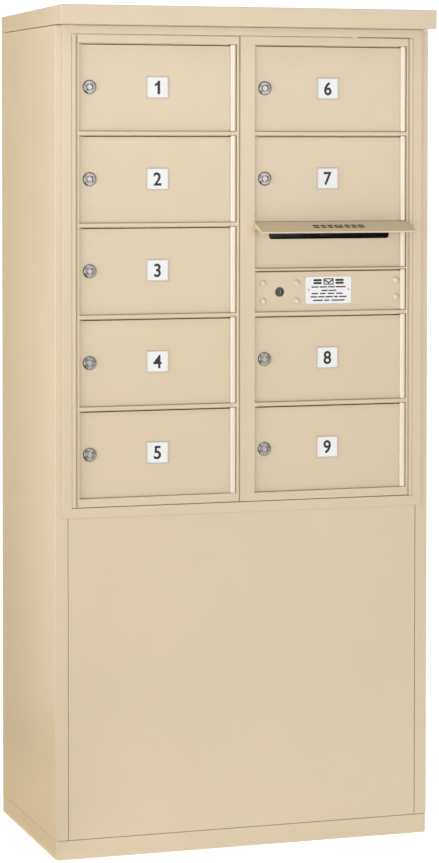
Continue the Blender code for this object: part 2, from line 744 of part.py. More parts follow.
def bolted_bracket(name, bolts, hole=None):
    """A plate behind the lock panel with its bolts through the panel, as one piece."""
    xs = [x for x, _ in bolts]
    zs = [z for _, z in bolts]
    y, margin = PLATE_BACK, BRACKET_MARGIN
    plate = box(
        name, (min(xs) - margin, y, min(zs) - margin), (max(xs) + margin, y + SHEET, max(zs) + margin),
        material=paint(name),
    )
    if hole:
        x, z, radius = hole
        cut(plate, rod(name + "_hole", radius, (x, y - BEYOND, z), (x, y + BEYOND, z), axis="y"))
    through = DOOR_THICKNESS + 2 * GAP + SHEET / 2
    return join(plate, *[dome_bolt(x, z, through) for x, z in bolts])


def master_lock():
    x, z = from_left(MASTER_LOCK_FROM_LEFT), MASTER_LOCK_Z
    face = DOOR_FACE + MASTER_LOCK_SETBACK
    radius, bore, length = MASTER_LOCK_RADIUS, MASTER_PLUG_BORE, MASTER_LOCK_LENGTH
    nut, nut_radius = PLATE_BACK + SHEET + GAP - face, radius + MASTER_NUT
    profile = [
        (radius, 0.0), (radius, -nut), (nut_radius, -nut), (nut_radius, -nut - MASTER_NUT),
        (radius, -nut - MASTER_NUT), (radius, -length), (bore, -length), (bore, 0.0),
    ]
    steel = finish("master_lock_body_steel", STEEL, 0.35, 1.0)
    turned("master_lock_body", profile, (x, face, z), material=steel)
    back = face + length + GAP
    end = back + CAM_THICKNESS
    core = rod("master_plug_core", MASTER_PLUG_RADIUS, (x, face, z), (x, end, z), axis="y")
    plug = to_mesh(core, "master_lock_plug", finish("master_lock_plug_steel", STEEL, 0.3, 1.0))
    key_x, key_z = MASTER_KEYWAY_WIDTH / 2, MASTER_KEYWAY_HEIGHT / 2
    keyway = box(
        "master_keyway", (x - key_x, face - BEYOND, z - key_z),
        (x + key_x, face + MASTER_KEYWAY_DEPTH, z + key_z),
    )
    half = CAM_WIDTH / 2
    cam = box(
        "master_cam", (x - half, back, z - MASTER_CAM_LENGTH), (x + half, end + CAM_PROUD, z + CAM_TAIL)
    )
    cut(plug, keyway)
    join(plug, cam)


def master_strike():
    """The keeper that the master lock's cam turns behind, fixed to the rack's side wall."""
    wall = from_left(RACK_SPAN["right"][0]) + RACK_SHEET + GAP
    tip = from_left(MASTER_LOCK_FROM_LEFT) - MASTER_CAM_LENGTH + STRIKE_TIP
    y = FACE + STRIKE_DEPTH
    low, high = MASTER_LOCK_Z - STRIKE_HALF, MASTER_LOCK_Z + STRIKE_HALF
    steel = finish("master_strike_steel", STEEL, 0.5, 0.8)
    strike = box("master_strike", (wall, y, low), (tip, y + SHEET, high), material=steel)
    leg = box("master_strike_leg", (wall, y, low), (wall + SHEET, y + STRIKE_LEG, high))
    return join(strike, leg)


def label_plate():
    x0, x1 = (from_left(d) for d in LABEL_FROM_LEFT)
    y = DOOR_FACE - GAP
    return box(
        "label_plate", (x0, y - LABEL_THICKNESS, LABEL_Z[0]), (x1, y, LABEL_Z[1]),
        material=finish("label_plate_white", WHITE, 0.4),
    )


def build():
    for side in ("left", "right"):
        side_panel(side)
        hinge_strip(side)
        master_rod(side)
        rack(side)
        master_door(side)
        tenant_rod(side)
    back_panel()
    top_cap()
    base_plinth()
    lower_front_panel()
    support_shelf()
    trim()
    tenant_doors()
    outgoing_panel()
    outgoing_hood()
    slot_baffle()
    lock_panel()
    lock_centre = (from_left(MASTER_LOCK_FROM_LEFT), MASTER_LOCK_Z, MASTER_LOCK_HOLE)
    bolted_bracket("lock_bracket", lock_bolts(), lock_centre)
    bolted_bracket("end_bracket", end_bolts())
    master_lock()
    master_strike()
    label_plate()


clear_scene()
parts = new_collection("cluster_mailbox_unit")
cutters = new_collection("cutters")
cutters.hide_render = True
build()
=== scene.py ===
"""Cluster mailbox unit: the finished surfaces, prints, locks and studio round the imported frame.

Metres, +Z up, fronts facing -Y. Every piece is drawn in the frame's own coordinates, with its object
at the origin.
"""

import json
import math

import bmesh
import bpy
from mathutils import Matrix, Vector
from mathutils.geometry import delaunay_2d_cdt

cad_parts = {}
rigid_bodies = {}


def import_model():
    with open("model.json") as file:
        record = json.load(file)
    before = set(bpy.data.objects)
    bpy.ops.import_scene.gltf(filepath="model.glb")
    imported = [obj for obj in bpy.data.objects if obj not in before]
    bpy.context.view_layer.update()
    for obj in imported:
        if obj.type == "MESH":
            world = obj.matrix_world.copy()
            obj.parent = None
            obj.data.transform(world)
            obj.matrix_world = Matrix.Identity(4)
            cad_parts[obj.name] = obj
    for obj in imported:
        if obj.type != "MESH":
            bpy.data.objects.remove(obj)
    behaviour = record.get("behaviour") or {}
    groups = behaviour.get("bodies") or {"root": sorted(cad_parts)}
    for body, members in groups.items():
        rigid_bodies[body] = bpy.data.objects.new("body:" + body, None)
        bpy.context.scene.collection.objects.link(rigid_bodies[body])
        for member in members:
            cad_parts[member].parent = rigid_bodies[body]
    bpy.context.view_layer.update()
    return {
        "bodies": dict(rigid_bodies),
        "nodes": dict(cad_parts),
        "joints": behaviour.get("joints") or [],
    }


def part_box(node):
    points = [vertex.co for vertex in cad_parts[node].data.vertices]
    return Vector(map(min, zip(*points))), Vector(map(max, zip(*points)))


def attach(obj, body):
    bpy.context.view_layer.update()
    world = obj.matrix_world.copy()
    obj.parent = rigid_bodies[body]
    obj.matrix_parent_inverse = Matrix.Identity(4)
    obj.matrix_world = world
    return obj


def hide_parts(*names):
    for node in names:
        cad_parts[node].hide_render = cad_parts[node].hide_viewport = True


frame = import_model()

anchors = {joint["name"]: Vector(joint["pos_m"]) for joint in frame["joints"]}

# Door sheets, hinge barrels and the openings round them
DOOR_RECESS, DOOR_THICKNESS = 0.006, 0.003
DOOR_EDGE_GAP, OPEN_ABOVE, SHUT_BELOW = 0.0006, 0.0024, 0.0003
BARREL_RADIUS, BARREL_BORE, BARREL_GAP = 0.006, 0.0024, 0.0005
BARREL_SQUARENESS = 2.5  # 2 would be a true circle
STOP_LIP, LIP_ABOVE = 0.008, 0.0018  # how far the stop reaches in at the sides and below, and above
RAIL_END_DROP, RAIL_OVERLAP, RAIL_ROUND = 0.0012, 0.004, 0.0009

# Folded sheets, seams and the ledges inside the gaps
SHEET, GAP, SEAM = 0.002, 0.0003, 0.0011
FLANGE = {"front": 0.0245, "back": 0.020}
PLINTH_CORNER, PLINTH_BACK_CORNER = 0.0055, 0.002
ANCHOR_INSET, ANCHOR_RADIUS = 0.060, 0.0065
STRIP_THICKNESS, LEDGE_REACH, LEDGE_THICKNESS = 0.003, 0.0011, 0.0012
LAP_REACH, LAP_DEPTH, LAP_THICKNESS = {"left": 0.0008, "right": 0.0004}, 0.0021, 0.0018
CAP_TOP_BAND = 0.006  # the cap's top falls to the back within this height

# Rounding of painted edges and folds
FRAME_ROUND, FOLD_ROUND, CAP_ROUND, SHEET_ROUND = 0.0019, 0.0010, 0.0013, 0.0007
GAP_ROUND, CUT_ROUND, CORNER_ROUND = 0.0030, 0.0004, 0.0008

# Locks, bolts and screws
CAM_HALF_WIDTH, CAM_RISE, CAM_THICKNESS = 0.005, 0.007, 0.002
CAM_NUT_RADIUS, CAM_NUT_THICKNESS = 0.0046, 0.0005
LOCK_HOLE, MASTER_LOCK_HOLE = 0.0099, 0.0095
BOLT_RADIUS, BOLT_INSET, BOLT_SEAT, SHANK_RADIUS = 0.0065, 0.0055, 0.0004, 0.0025
SCREW_SINK, SCREW_END_MARGIN, SCREWS_IN_A_ROW = 0.0016, 0.05, 7
SCREW_ABOVE_SHELF_EDGE = 0.0055

# The outgoing slot
SLOT_PAST_BAFFLE, SLOT_DROP, SLOT_HEIGHT, SLOT_CORNER = 0.004, 0.0015, 0.0177, 0.006
RIM_WIDTH, RIM_PROUD, RIM_ROUND = 0.0022, 0.0015, 0.0005

# Number cards and prints
CARD_WIDTH, CARD_HEIGHT, CARD_THICKNESS, CARD_CORNER = 0.0420, 0.0395, 0.0006, 0.0012
CARD_FROM_OPENING = {"left": 0.158, "right": 0.153}
CARD_EDGE, CARD_EDGE_PROUD, CARD_EDGE_CORNER = 0.0018, 0.0014, 0.0020
DIGIT_SIZE, DIGIT_WEIGHT, DIGIT_STRETCH, INK_THICKNESS = 0.0355, 0.00075, 0.95, 0.00015
ONE = [
    (0.345, 0.0), (0.345, 0.735), (0.235, 0.735), (0.195, 0.665), (0.13, 0.60),
    (0.04, 0.56), (0.04, 0.43), (0.13, 0.465), (0.195, 0.51), (0.195, 0.0),
]

PAINT = (0.545, 0.444, 0.287)
INK = (0.009, 0.009, 0.010)
AIR_BEHIND, AIR_IN_FRONT, FLOOR_GLOW = 1.08, 0.50, 0.62

COLUMNS = {
    "left": ["tenant_door_5", "tenant_door_4", "tenant_door_3", "tenant_door_2", "tenant_door_1"],
    "right": [
        "tenant_door_9", "tenant_door_8", "lock_panel", "outgoing_panel", "tenant_door_7", "tenant_door_6"
    ],
}
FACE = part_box("master_door_left")[0].y
DOOR_FACE = FACE + DOOR_RECESS
LIP = DOOR_FACE + DOOR_THICKNESS + GAP


# ---------------------------------------------------------------- materials


def shader_of(name):
    """A new material, its node tree and its main shader."""
    material = bpy.data.materials.new(name)
    material.use_nodes = True
    tree = material.node_tree
    return material, tree, tree.nodes["Principled BSDF"]


def noise(tree, scale, detail=2.0, roughness=0.5, stretch=(1, 1, 1)):
    """A noise texture in the object's own coordinates, which are the frame's metres."""
    coordinates = tree.nodes.new("ShaderNodeTexCoord")
    mapping = tree.nodes.new("ShaderNodeMapping")
    mapping.inputs["Scale"].default_value = stretch
    texture = tree.nodes.new("ShaderNodeTexNoise")
    texture.inputs["Scale"].default_value = scale
    texture.inputs["Detail"].default_value = detail
    texture.inputs["Roughness"].default_value = roughness
    tree.links.new(coordinates.outputs["Object"], mapping.inputs["Vector"])
    tree.links.new(mapping.outputs["Vector"], texture.inputs["Vector"])
    return texture.outputs["Fac"]


def ranged(tree, value, low, high, from_low=0.3, from_high=0.7):
    """The value stretched from the noise's usual span to a new one."""
    node = tree.nodes.new("ShaderNodeMapRange")
    node.inputs["From Min"].default_value = from_low
    node.inputs["From Max"].default_value = from_high
    node.inputs["To Min"].default_value = low
    node.inputs["To Max"].default_value = high
    tree.links.new(value, node.inputs["Value"])
    return node.outputs["Result"]


def blended(tree, factor, dark, light):
    """A colour between two, by a factor from 0 to 1."""
    node = tree.nodes.new("ShaderNodeMix")
    node.data_type = "RGBA"
    colours = [socket for socket in node.inputs if socket.type == "RGBA"]
    for socket, colour in zip(colours, (dark, light)):
        if isinstance(colour, bpy.types.NodeSocket):
            tree.links.new(colour, socket)
        else:
            socket.default_value = (*colour, 1.0)
    tree.links.new(factor, node.inputs["Factor"])
    return next(socket for socket in node.outputs if socket.type == "RGBA")


def bumped(tree, shader, heights):
    """Bumps in a chain, each from (height, strength, depth in metres)."""
    normal = None
    for height, strength, depth in heights:
        bump = tree.nodes.new("ShaderNodeBump")
        bump.inputs["Strength"].default_value = strength
        bump.inputs["Distance"].default_value = depth
        tree.links.new(height, bump.inputs["Height"])
        if normal:
            tree.links.new(normal, bump.inputs["Normal"])
        normal = bump.outputs["Normal"]
    tree.links.new(normal, shader.inputs["Normal"])


def scaled(colour, factor):
    return tuple(channel * factor for channel in colour)


def powder_coat(name, colour, roughness, painted_edge_shading=1.32, coat=0.25, coat_ior=1.5, coat_roughness=0.22):
    """Semi-gloss powder coat: orange peel, faint clouding and specks, and painted shading on rounded edges.
    """
    material, tree, shader = shader_of(name)
    cloud = ranged(tree, noise(tree, 4.0, 3.0), 0.0, 1.0)
    base = blended(tree, cloud, scaled(colour, 0.985), scaled(colour, 1.015))
    specks = ranged(tree, noise(tree, 900.0, 1.0), 0.0, 0.35, 0.62, 0.75)
    base = blended(tree, specks, base, scaled(colour, 0.90))
    # Rounded faces take a painted highlight: the colour times the edge factor, over a faint noise. A factor
    # below 1 paints shade there instead.
    edge = tree.nodes.new("ShaderNodeAttribute")
    edge.attribute_name = "rounded_edge"
    painted_edge_mask = tree.nodes.new("ShaderNodeMath")
    painted_edge_mask.operation = "MULTIPLY"
    tree.links.new(edge.outputs["Fac"], painted_edge_mask.inputs[0])
    tree.links.new(ranged(tree, noise(tree, 60.0, 2.0), 0.55, 0.90), painted_edge_mask.inputs[1])
    base = blended(tree, painted_edge_mask.outputs["Value"], base, scaled(colour, painted_edge_shading))
    tree.links.new(base, shader.inputs["Base Color"])
    sheen = ranged(tree, noise(tree, 25.0, 2.0), roughness - 0.03, roughness + 0.03)
    tree.links.new(sheen, shader.inputs["Roughness"])
    shader.inputs["Specular IOR Level"].default_value = 1.0
    shader.inputs["Coat Weight"].default_value = coat
    shader.inputs["Coat Roughness"].default_value = coat_roughness
    shader.inputs["Coat IOR"].default_value = coat_ior
    bumped(tree, shader, [(noise(tree, 2.2, 1.0), 0.25, 0.004), (noise(tree, 620.0, 2.0), 0.10, 0.0002)])
    return material


def metal(name, colour, roughness, stretch, scale, depth=0.00005, anisotropy=0.0):
    """Bare or plated metal with fine lines drawn out along one direction."""
    material, tree, shader = shader_of(name)
    grain = noise(tree, scale, 3.0, 0.6, stretch)
    cloud = noise(tree, 18.0, 2.0)
    base = blended(tree, ranged(tree, cloud, 0.0, 1.0), scaled(colour, 0.93), colour)
    tree.links.new(base, shader.inputs["Base Color"])
    tree.links.new(ranged(tree, grain, roughness * 0.8, roughness * 1.25), shader.inputs["Roughness"])
    shader.inputs["Metallic"].default_value = 1.0
    shader.inputs["Anisotropic"].default_value = anisotropy
    bumped(tree, shader, [(grain, 0.35, depth)])
    return material


def printed(name, colour, roughness, grain_scale=400.0, lightest=1.06, strength=0.15):
    """Plastic, card or ink with a fine grain."""
    material, tree, shader = shader_of(name)
    grain = noise(tree, grain_scale, 3.0)
    base = blended(tree, ranged(tree, grain, 0.0, 1.0), scaled(colour, 0.96), scaled(colour, lightest))
    tree.links.new(base, shader.inputs["Base Color"])
    sheen = ranged(tree, noise(tree, 90.0, 2.0), roughness * 0.9, roughness * 1.1)
    tree.links.new(sheen, shader.inputs["Roughness"])
    bumped(tree, shader, [(grain, strength, 0.00004)])
    return material


# Edge factors above 1 paint highlights on rounded edges; the enclosure's 0.97 paints faint shade on its
# rounded folds.
paint = {
    "enclosure": powder_coat("enclosure_powder_coat", PAINT, 0.36, painted_edge_shading=0.97),
    "trim": powder_coat("trim_powder_coat", PAINT, 0.34, painted_edge_shading=1.0),
    "master": powder_coat("master_powder_coat", PAINT, 0.33),
    "door": powder_coat("door_powder_coat", PAINT, 0.35),
    "barrel": powder_coat(
        "hinge_barrel_powder_coat", PAINT, 0.30, painted_edge_shading=1.0, coat=1.0, coat_ior=3.6, coat_roughness=0.34
    ),
    "bolt": powder_coat("dome_bolt_powder_coat", PAINT, 0.28, painted_edge_shading=1.0, coat=0.9, coat_ior=2.2),
}
chrome = metal("lock_chrome_plate", (0.40, 0.375, 0.365), 0.12, (1, 1, 1), 300.0, 0.00002)
steel = metal("lock_brushed_steel", (0.50, 0.49, 0.48), 0.28, (1, 1, 9), 260.0, 0.00004, 0.4)
# Near-black steel that paints the shade inside the master lock's hole.
lock_hole_shade_steel = metal("master_lock_hole_shade_steel", (0.10, 0.10, 0.10), 0.35, (1, 1, 1), 260.0, 0.00004)
rack_metal = metal("rack_mill_sheet", (0.60, 0.605, 0.61), 0.38, (1, 9, 1), 120.0, 0.00006, 0.3)
hinge_steel = metal("hinge_rod_steel", (0.52, 0.52, 0.52), 0.30, (8, 8, 1), 300.0, 0.00003)
# Near-black that paints the shade inside the outgoing slot, on the baffle behind it.
slot_shade_black = printed("slot_painted_shade_black", (0.004, 0.004, 0.004), 0.85, 500.0, 1.3, 0.3)
white = printed("label_satin_white", (0.70, 0.70, 0.70), 0.38)
# The raised edge round each number card is real, and its darker tint is painted shade round the card.
card_edge = printed("card_edge_shade_tint", (0.47, 0.42, 0.34), 0.42)
ink = printed("label_black_ink", INK, 0.45, 700.0, 1.5)


# ---------------------------------------------------------------- shapes


def in_scene(name, data):
    """A new object in the scene for a mesh, text, light or camera."""
    obj = bpy.data.objects.new(name, data)
    bpy.context.scene.collection.objects.link(obj)
    return obj


def add_piece(name, mesh, material, body, stands_for=()):
    """A piece of the object that rides on a body, shaded smooth up to its sharp edges."""
    obj = in_scene(name, mesh)
    mesh.name = name
    mesh.materials.clear()
    mesh.materials.append(material)
    mesh.shade_smooth()
    mesh.set_sharp_from_angle(angle=math.radians(50))
    even = obj.modifiers.new("even_faces", "WEIGHTED_NORMAL")
    even.keep_sharp = True
    even.weight = 90
    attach(obj, body)
    if stands_for:
        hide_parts(*stands_for)


def from_bmesh(bm):
    bmesh.ops.recalc_face_normals(bm, faces=bm.faces)
    mesh = bpy.data.meshes.new("shape")
    bm.to_mesh(mesh)
    bm.free()
    return mesh


PLANES = {
    "x": Matrix(((0, 0, 1, 0), (1, 0, 0, 0), (0, 1, 0, 0), (0, 0, 0, 1))),
    "y": Matrix.Rotation(math.pi / 2, 4, "X"),
    "z": Matrix(),
}


def signed_area(loop):
    total = 0.0
    for (ax, ay), (bx, by) in zip(loop, loop[1:] + loop[:1]):
        total += ax * by - bx * ay
    return total / 2


def inset(loop, distance):
    """The outline moved towards its left-hand side, corner by corner."""
    moved = []
    for before, here, after in zip(loop[-1:] + loop[:-1], loop, loop[1:] + loop[:1]):
        first, second = (here - before).normalized().orthogonal(), (after - here).normalized().orthogonal()
        moved.append(here + (first + second) * distance / (1 + first.dot(second)))
    return moved


def is_inside(point, loops):
    """Whether a point lies inside an outline and outside its holes."""
    crossings = 0
    for loop in loops:
        for a, b in zip(loop, loop[1:] + loop[:1]):
            if (a.y > point.y) != (b.y > point.y):
                crossings += point.x < a.x + (point.y - a.y) * (b.x - a.x) / (b.y - a.y)
    return crossings % 2 == 1


def slab(loops, axis, low, high, rounding=0.0, steps=3):
    """A flat outline with holes, extruded along an axis, with its two rims rounded.

    The loops hold (x, z) points for axis y, (y, z) for x and (x, y) for z. The first is the outside.
    """
    outlines = []
    for index, loop in enumerate(loops):
        turned = list(loop) if (signed_area(loop) > 0) == (index == 0) else list(reversed(loop))
        outlines.append([Vector(point) for point in turned])
    rims = []
    for step in range(steps + 1 if rounding else 1):
        angle = step / steps * math.pi / 2
        rims.append((rounding * (1 - math.sin(angle)), rounding * (1 - math.cos(angle))))
    levels = [(shift, low + depth) for shift, depth in rims]
    levels += [(shift, high - depth) for shift, depth in reversed(rims)]

    bm = bmesh.new()
    ends = {0: [], len(levels) - 1: []}
    for outline in outlines:
        rings = []
        for level, (shift, height) in enumerate(levels):
            flat = inset(outline, shift)
            rings.append([bm.verts.new((point.x, point.y, height)) for point in flat])
            if level in ends:
                ends[level].append((flat, rings[-1]))
        for lower, upper in zip(rings, rings[1:]):
            for a, b, c, d in zip(lower, lower[1:] + lower[:1], upper[1:] + upper[:1], upper):
                bm.faces.new((a, b, c, d))
    for level in ends:
        flats = [flat for flat, _ in ends[level]]
        points = [point for flat in flats for point in flat]
        corners = [vertex for _, ring in ends[level] for vertex in ring]
        borders, count = [], 0
        for flat in flats:
            borders += [(count + i, count + (i + 1) % len(flat)) for i in range(len(flat))]
            count += len(flat)
        for triangle in delaunay_2d_cdt(points, borders, [], 0, 1e-9)[2]:
            if is_inside(sum((points[i] for i in triangle), Vector((0, 0))) / 3, flats):
                bm.faces.new([corners[i] for i in triangle])
    if axis == "y":  # this plane's turn sends heights to -Y, so they are mirrored first
        for vertex in bm.verts:
            vertex.co.z = -vertex.co.z
    bmesh.ops.transform(bm, matrix=PLANES[axis], verts=bm.verts)
    return from_bmesh(bm)


def baked(guide, matrix=Matrix()):
    """The evaluated mesh of a helper object, welded, and the helper removed."""
    bpy.context.view_layer.update()
    graph = bpy.context.evaluated_depsgraph_get()
    mesh = bpy.data.meshes.new_from_object(guide.evaluated_get(graph), depsgraph=graph)
    bpy.data.objects.remove(guide, do_unlink=True)
    bm = bmesh.new()
    bm.from_mesh(mesh)
    bpy.data.meshes.remove(mesh)
    bmesh.ops.remove_doubles(bm, verts=bm.verts, dist=0.000005)
    bmesh.ops.transform(bm, matrix=matrix, verts=bm.verts)
    return from_bmesh(bm)


def boolean(mesh, others, operation):
    """The mesh joined with or cut by others, as one new mesh."""
    guide = in_scene("joined", mesh)
    tools = []
    for other in others:
        tool = in_scene("tool", other)
        modifier = guide.modifiers.new("tool", "BOOLEAN")
        modifier.solver = "EXACT"
        modifier.operation = operation
        modifier.object = tool
        tools.append(tool)
    result = baked(guide)
    for tool in tools:
        bpy.data.objects.remove(tool, do_unlink=True)
    return result


def soft_box(low, high, rounding):
    """A box with every edge rounded."""
    low, high = Vector(low), Vector(high)
    bm = bmesh.new()
    bmesh.ops.create_cube(bm, size=1.0)
    bmesh.ops.scale(bm, vec=high - low, verts=bm.verts)
    bmesh.ops.translate(bm, vec=(low + high) / 2, verts=bm.verts)
    bmesh.ops.bevel(bm, geom=bm.edges[:], offset=rounding, segments=2, profile=0.5, affect="EDGES")
    return from_bmesh(bm)


def lathe(profile, centre, segments=64):
    """A closed solid from (radius, forward) points that start and end on the axis, which runs along -Y."""
    bm = bmesh.new()
    rings = []
    for radius, forward in profile:
        ring = []
        for step in range(segments if radius > 0 else 1):
            angle = 2 * math.pi * step / segments
            place = (radius * math.cos(angle), -forward, radius * math.sin(angle))
            ring.append(bm.verts.new(Vector(centre) + Vector(place)))
        rings.append(ring)
    for first, second in zip(rings, rings[1:]):
        for step in range(segments):
            following = (step + 1) % segments
            corners = [first[step % len(first)], first[following % len(first)]]
            corners += [second[following % len(second)], second[step % len(second)]]
            bm.faces.new(list(dict.fromkeys(corners)))
    return from_bmesh(bm)


def rounded(points, radii, steps=5):
    """A closed outline with its corners turned into arcs, where a radius of 0 leaves the corner sharp."""
    result = []
    count = len(points)
    for index, (point, radius) in enumerate(zip(points, radii)):
        corner = Vector(point)
        if not radius:
            result.append(tuple(corner))
            continue
        before = (Vector(points[index - 1]) - corner).normalized()
        after = (Vector(points[(index + 1) % count]) - corner).normalized()
        half = before.angle(after) / 2
        centre = corner + (before + after).normalized() * radius / math.sin(half)
        start = corner + before * radius / math.tan(half) - centre
        turn = start.angle_signed(corner + after * radius / math.tan(half) - centre)
        for step in range(steps + 1):
            result.append(tuple(centre + Matrix.Rotation(-turn * step / steps, 2) @ start))
    return result


def rectangle(x0, y0, x1, y1, radius=0.0):
    return rounded([(x0, y0), (x1, y0), (x1, y1), (x0, y1)], [radius] * 4)


def centred(x, y, width, height, radius=0.0):
    return rectangle(x - width / 2, y - height / 2, x + width / 2, y + height / 2, radius)


def circle(x, y, radius, steps=32):
    angles = [2 * math.pi * step / steps for step in range(steps)]
    return [(x + radius * math.cos(a), y + radius * math.sin(a)) for a in angles]


def refined(node, material, rules, steps=3):
    """The frame's own solid with chosen edges rounded, by rules of (radius, test of an edge's two ends)."""
    bm = bmesh.new()
    bm.from_mesh(frame["nodes"][node].data)
    bmesh.ops.remove_doubles(bm, verts=bm.verts, dist=0.00001)
    bmesh.ops.dissolve_limit(
        bm, angle_limit=math.radians(0.5), verts=bm.verts, edges=bm.edges, use_dissolve_boundaries=False
    )
    original = set(bm.faces)
    for radius, chosen in rules:
        edges = []
        for edge in bm.edges:
            if edge.is_manifold and edge.calc_face_angle() > math.radians(25):
                if chosen(edge.verts[0].co, edge.verts[1].co):
                    edges.append(edge)
        bmesh.ops.bevel(
            bm, geom=edges, offset=radius, segments=steps, profile=0.5, affect="EDGES", clamp_overlap=False
        )
    # Rounded faces are marked here for the powder coat's painted edge highlight and shade.
    layer = bm.faces.layers.float.new("rounded_edge")
    for face in bm.faces:
        face[layer] = 0.0 if face in original else 1.0
    add_piece(node + "_finished", from_bmesh(bm), material, body_of_node(node), (node,))


def body_of_node(node):
    return next(body for body, empty in frame["bodies"].items() if frame["nodes"][node].parent is empty)


# ---------------------------------------------------------------- enclosure


def on_plane(axis, value):
    """A test for edges that lie in one plane."""
    index = "xyz".index(axis)
    return lambda a, b: abs(a[index] - value) < 1e-5 and abs(b[index] - value) < 1e-5


def along(axis, shortest=0.0):
    """A test for edges that run along one axis and are longer than a given length."""
    index = "xyz".index(axis)
    return lambda a, b: (a - b).length > shortest and abs(abs(a[index] - b[index]) - (a - b).length) < 1e-6


def both(*tests):
    return lambda a, b: all(test(a, b) for test in tests)


def either(*tests):
    return lambda a, b: any(test(a, b) for test in tests)


def outer_edges(node):
    """A test for the twelve outer edges of a node's box."""
    low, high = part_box(node)
    planes = [on_plane(axis, value) for corner in (low, high) for axis, value in zip("xyz", corner)]
    return lambda a, b: sum(test(a, b) for test in planes) >= 2


def falling_edges(node):
    """A test for the outer edges round a top that falls to the back."""
    low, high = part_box(node)
    walls = either(on_plane("x", low.x), on_plane("x", high.x), on_plane("y", high.y))
    return both(walls, lambda a, b: min(a.z, b.z) > high.z - CAP_TOP_BAND)


def base_plinth():
    """A floor tray with soft front corners and four holes for floor anchors."""
    node = "base_plinth"
    low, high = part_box(node)
    points = [(low.x, low.y), (high.x, low.y), (high.x, high.y), (low.x, high.y)]
    corners = [PLINTH_CORNER] * 2 + [PLINTH_BACK_CORNER] * 2
    outside = slab([rounded(points, corners)], "z", low.z, high.z, FOLD_ROUND)
    inner = [(x + math.copysign(SHEET, -x), y + math.copysign(SHEET, -y)) for x, y in points]
    hollow = rounded(inner, [PLINTH_CORNER - SHEET] * 4)
    cutters = [slab([hollow], "z", low.z + 1.5 * SHEET, high.z + SHEET)]
    for x in (low.x + ANCHOR_INSET, high.x - ANCHOR_INSET):
        for y in (low.y + ANCHOR_INSET, high.y - ANCHOR_INSET):
            cutters.append(slab([circle(x, y, ANCHOR_RADIUS)], "z", low.z - SHEET, low.z + 3 * SHEET))
    mesh = boolean(outside, cutters, "DIFFERENCE")
    add_piece(node + "_tray", mesh, paint["enclosure"], "cabinet", (node,))


def side_panel(side):
    """A folded sheet: its front and back edges turn inwards round soft folds."""
    node = "side_panel_" + side
    low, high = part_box(node)
    outer = low.x if side == "left" else high.x
    inward = 1 if side == "left" else -1
    inner = outer + inward * SHEET
    front, front_end = low.y, outer + inward * FLANGE["front"]
    back, back_end = high.y, outer + inward * FLANGE["back"]
    points = [
        (front_end, front), (outer, front), (outer, back), (back_end, back), (back_end, back - SHEET),
        (inner, back - SHEET), (inner, front + SHEET), (front_end, front + SHEET),
    ]
    folds, inner_folds = [FOLD_ROUND] * 2, [CORNER_ROUND] * 2
    section = rounded(points, [CUT_ROUND] + folds + [CUT_ROUND] * 2 + inner_folds + [CUT_ROUND])
    mesh = slab([section], "z", low.z + SEAM / 2, high.z - SEAM)
    add_piece(node + "_folded", mesh, paint["enclosure"], "cabinet", (node,))


def lower_panel():
    """The cover below the doors, with its side edges folded back."""
    node = "lower_front_panel"
    low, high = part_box(node)
    left, right, inner = low.x + SHEET, high.x - SHEET, low.y + SHEET
    points = [
        (low.x, low.y), (high.x, low.y), (high.x, high.y), (right, high.y),
        (right, inner), (left, inner), (left, high.y), (low.x, high.y),
    ]
    section = rounded(points, [FOLD_ROUND] * 2 + [CUT_ROUND] * 2 + [0.0006] * 2 + [CUT_ROUND] * 2)
    mesh = slab([section], "z", low.z, high.z)
    add_piece(node + "_folded", mesh, paint["enclosure"], "cabinet", (node,))


def back_screws():
    """Low pan-head screws that hold the back sheet to the side panels' flanges and to the shelf."""
    low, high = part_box("back_panel")
    from_edge = FLANGE["back"] / 2
    pitch = (high.z - low.z - 2 * SCREW_END_MARGIN) / (SCREWS_IN_A_ROW - 1)
    places = []
    for x in (low.x + from_edge, high.x - from_edge):
        for step in range(SCREWS_IN_A_ROW):
            places.append((x, low.z + SCREW_END_MARGIN + step * pitch))
    shelf_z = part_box("support_shelf")[0].z + SCREW_ABOVE_SHELF_EDGE
    for quarter in (1, 2, 3):
        places.append((low.x + quarter * (high.x - low.x) / 4, shelf_z))
    profile = [
        (0.0, 0.0002), (0.0013, 0.0002), (0.0014, 0.0010), (0.0030, 0.0008), (0.0042, 0.0003),
        (0.0046, -0.0004), (0.0046, -0.0010), (0.0, -0.0010),
    ]
    sunk = [(radius, forward - SCREW_SINK) for radius, forward in profile]
    facing_back = Matrix.Translation((0, high.y, 0)) @ Matrix.Scale(-1, 4, (0, 1, 0))
    for number, (x, z) in enumerate(places, 1):
        screw = lathe(sunk, (x, 0, z), 24)
        screw.transform(facing_back)
        screw.flip_normals()
        add_piece(f"back_screw_{number}", screw, paint["enclosure"], "cabinet")


def enclosure():
    for side in ("left", "right"):
        side_panel(side)
    lower_panel()
    edges = either(outer_edges("top_cap"), falling_edges("top_cap"))
    refined("top_cap", paint["enclosure"], [(CAP_ROUND, edges)], 4)
    base_plinth()
    for node in ("back_panel", "support_shelf"):
        refined(node, paint["enclosure"], [(SHEET_ROUND, outer_edges(node))])


def trim():
    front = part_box("trim_top")[0].y
    for side in ("top", "bottom", "left", "right"):
        run = along("x" if side in ("top", "bottom") else "z", 0.1)
        edges = both(run, on_plane("y", front))
        refined("trim_" + side, paint["trim"], [(FOLD_ROUND, edges)])


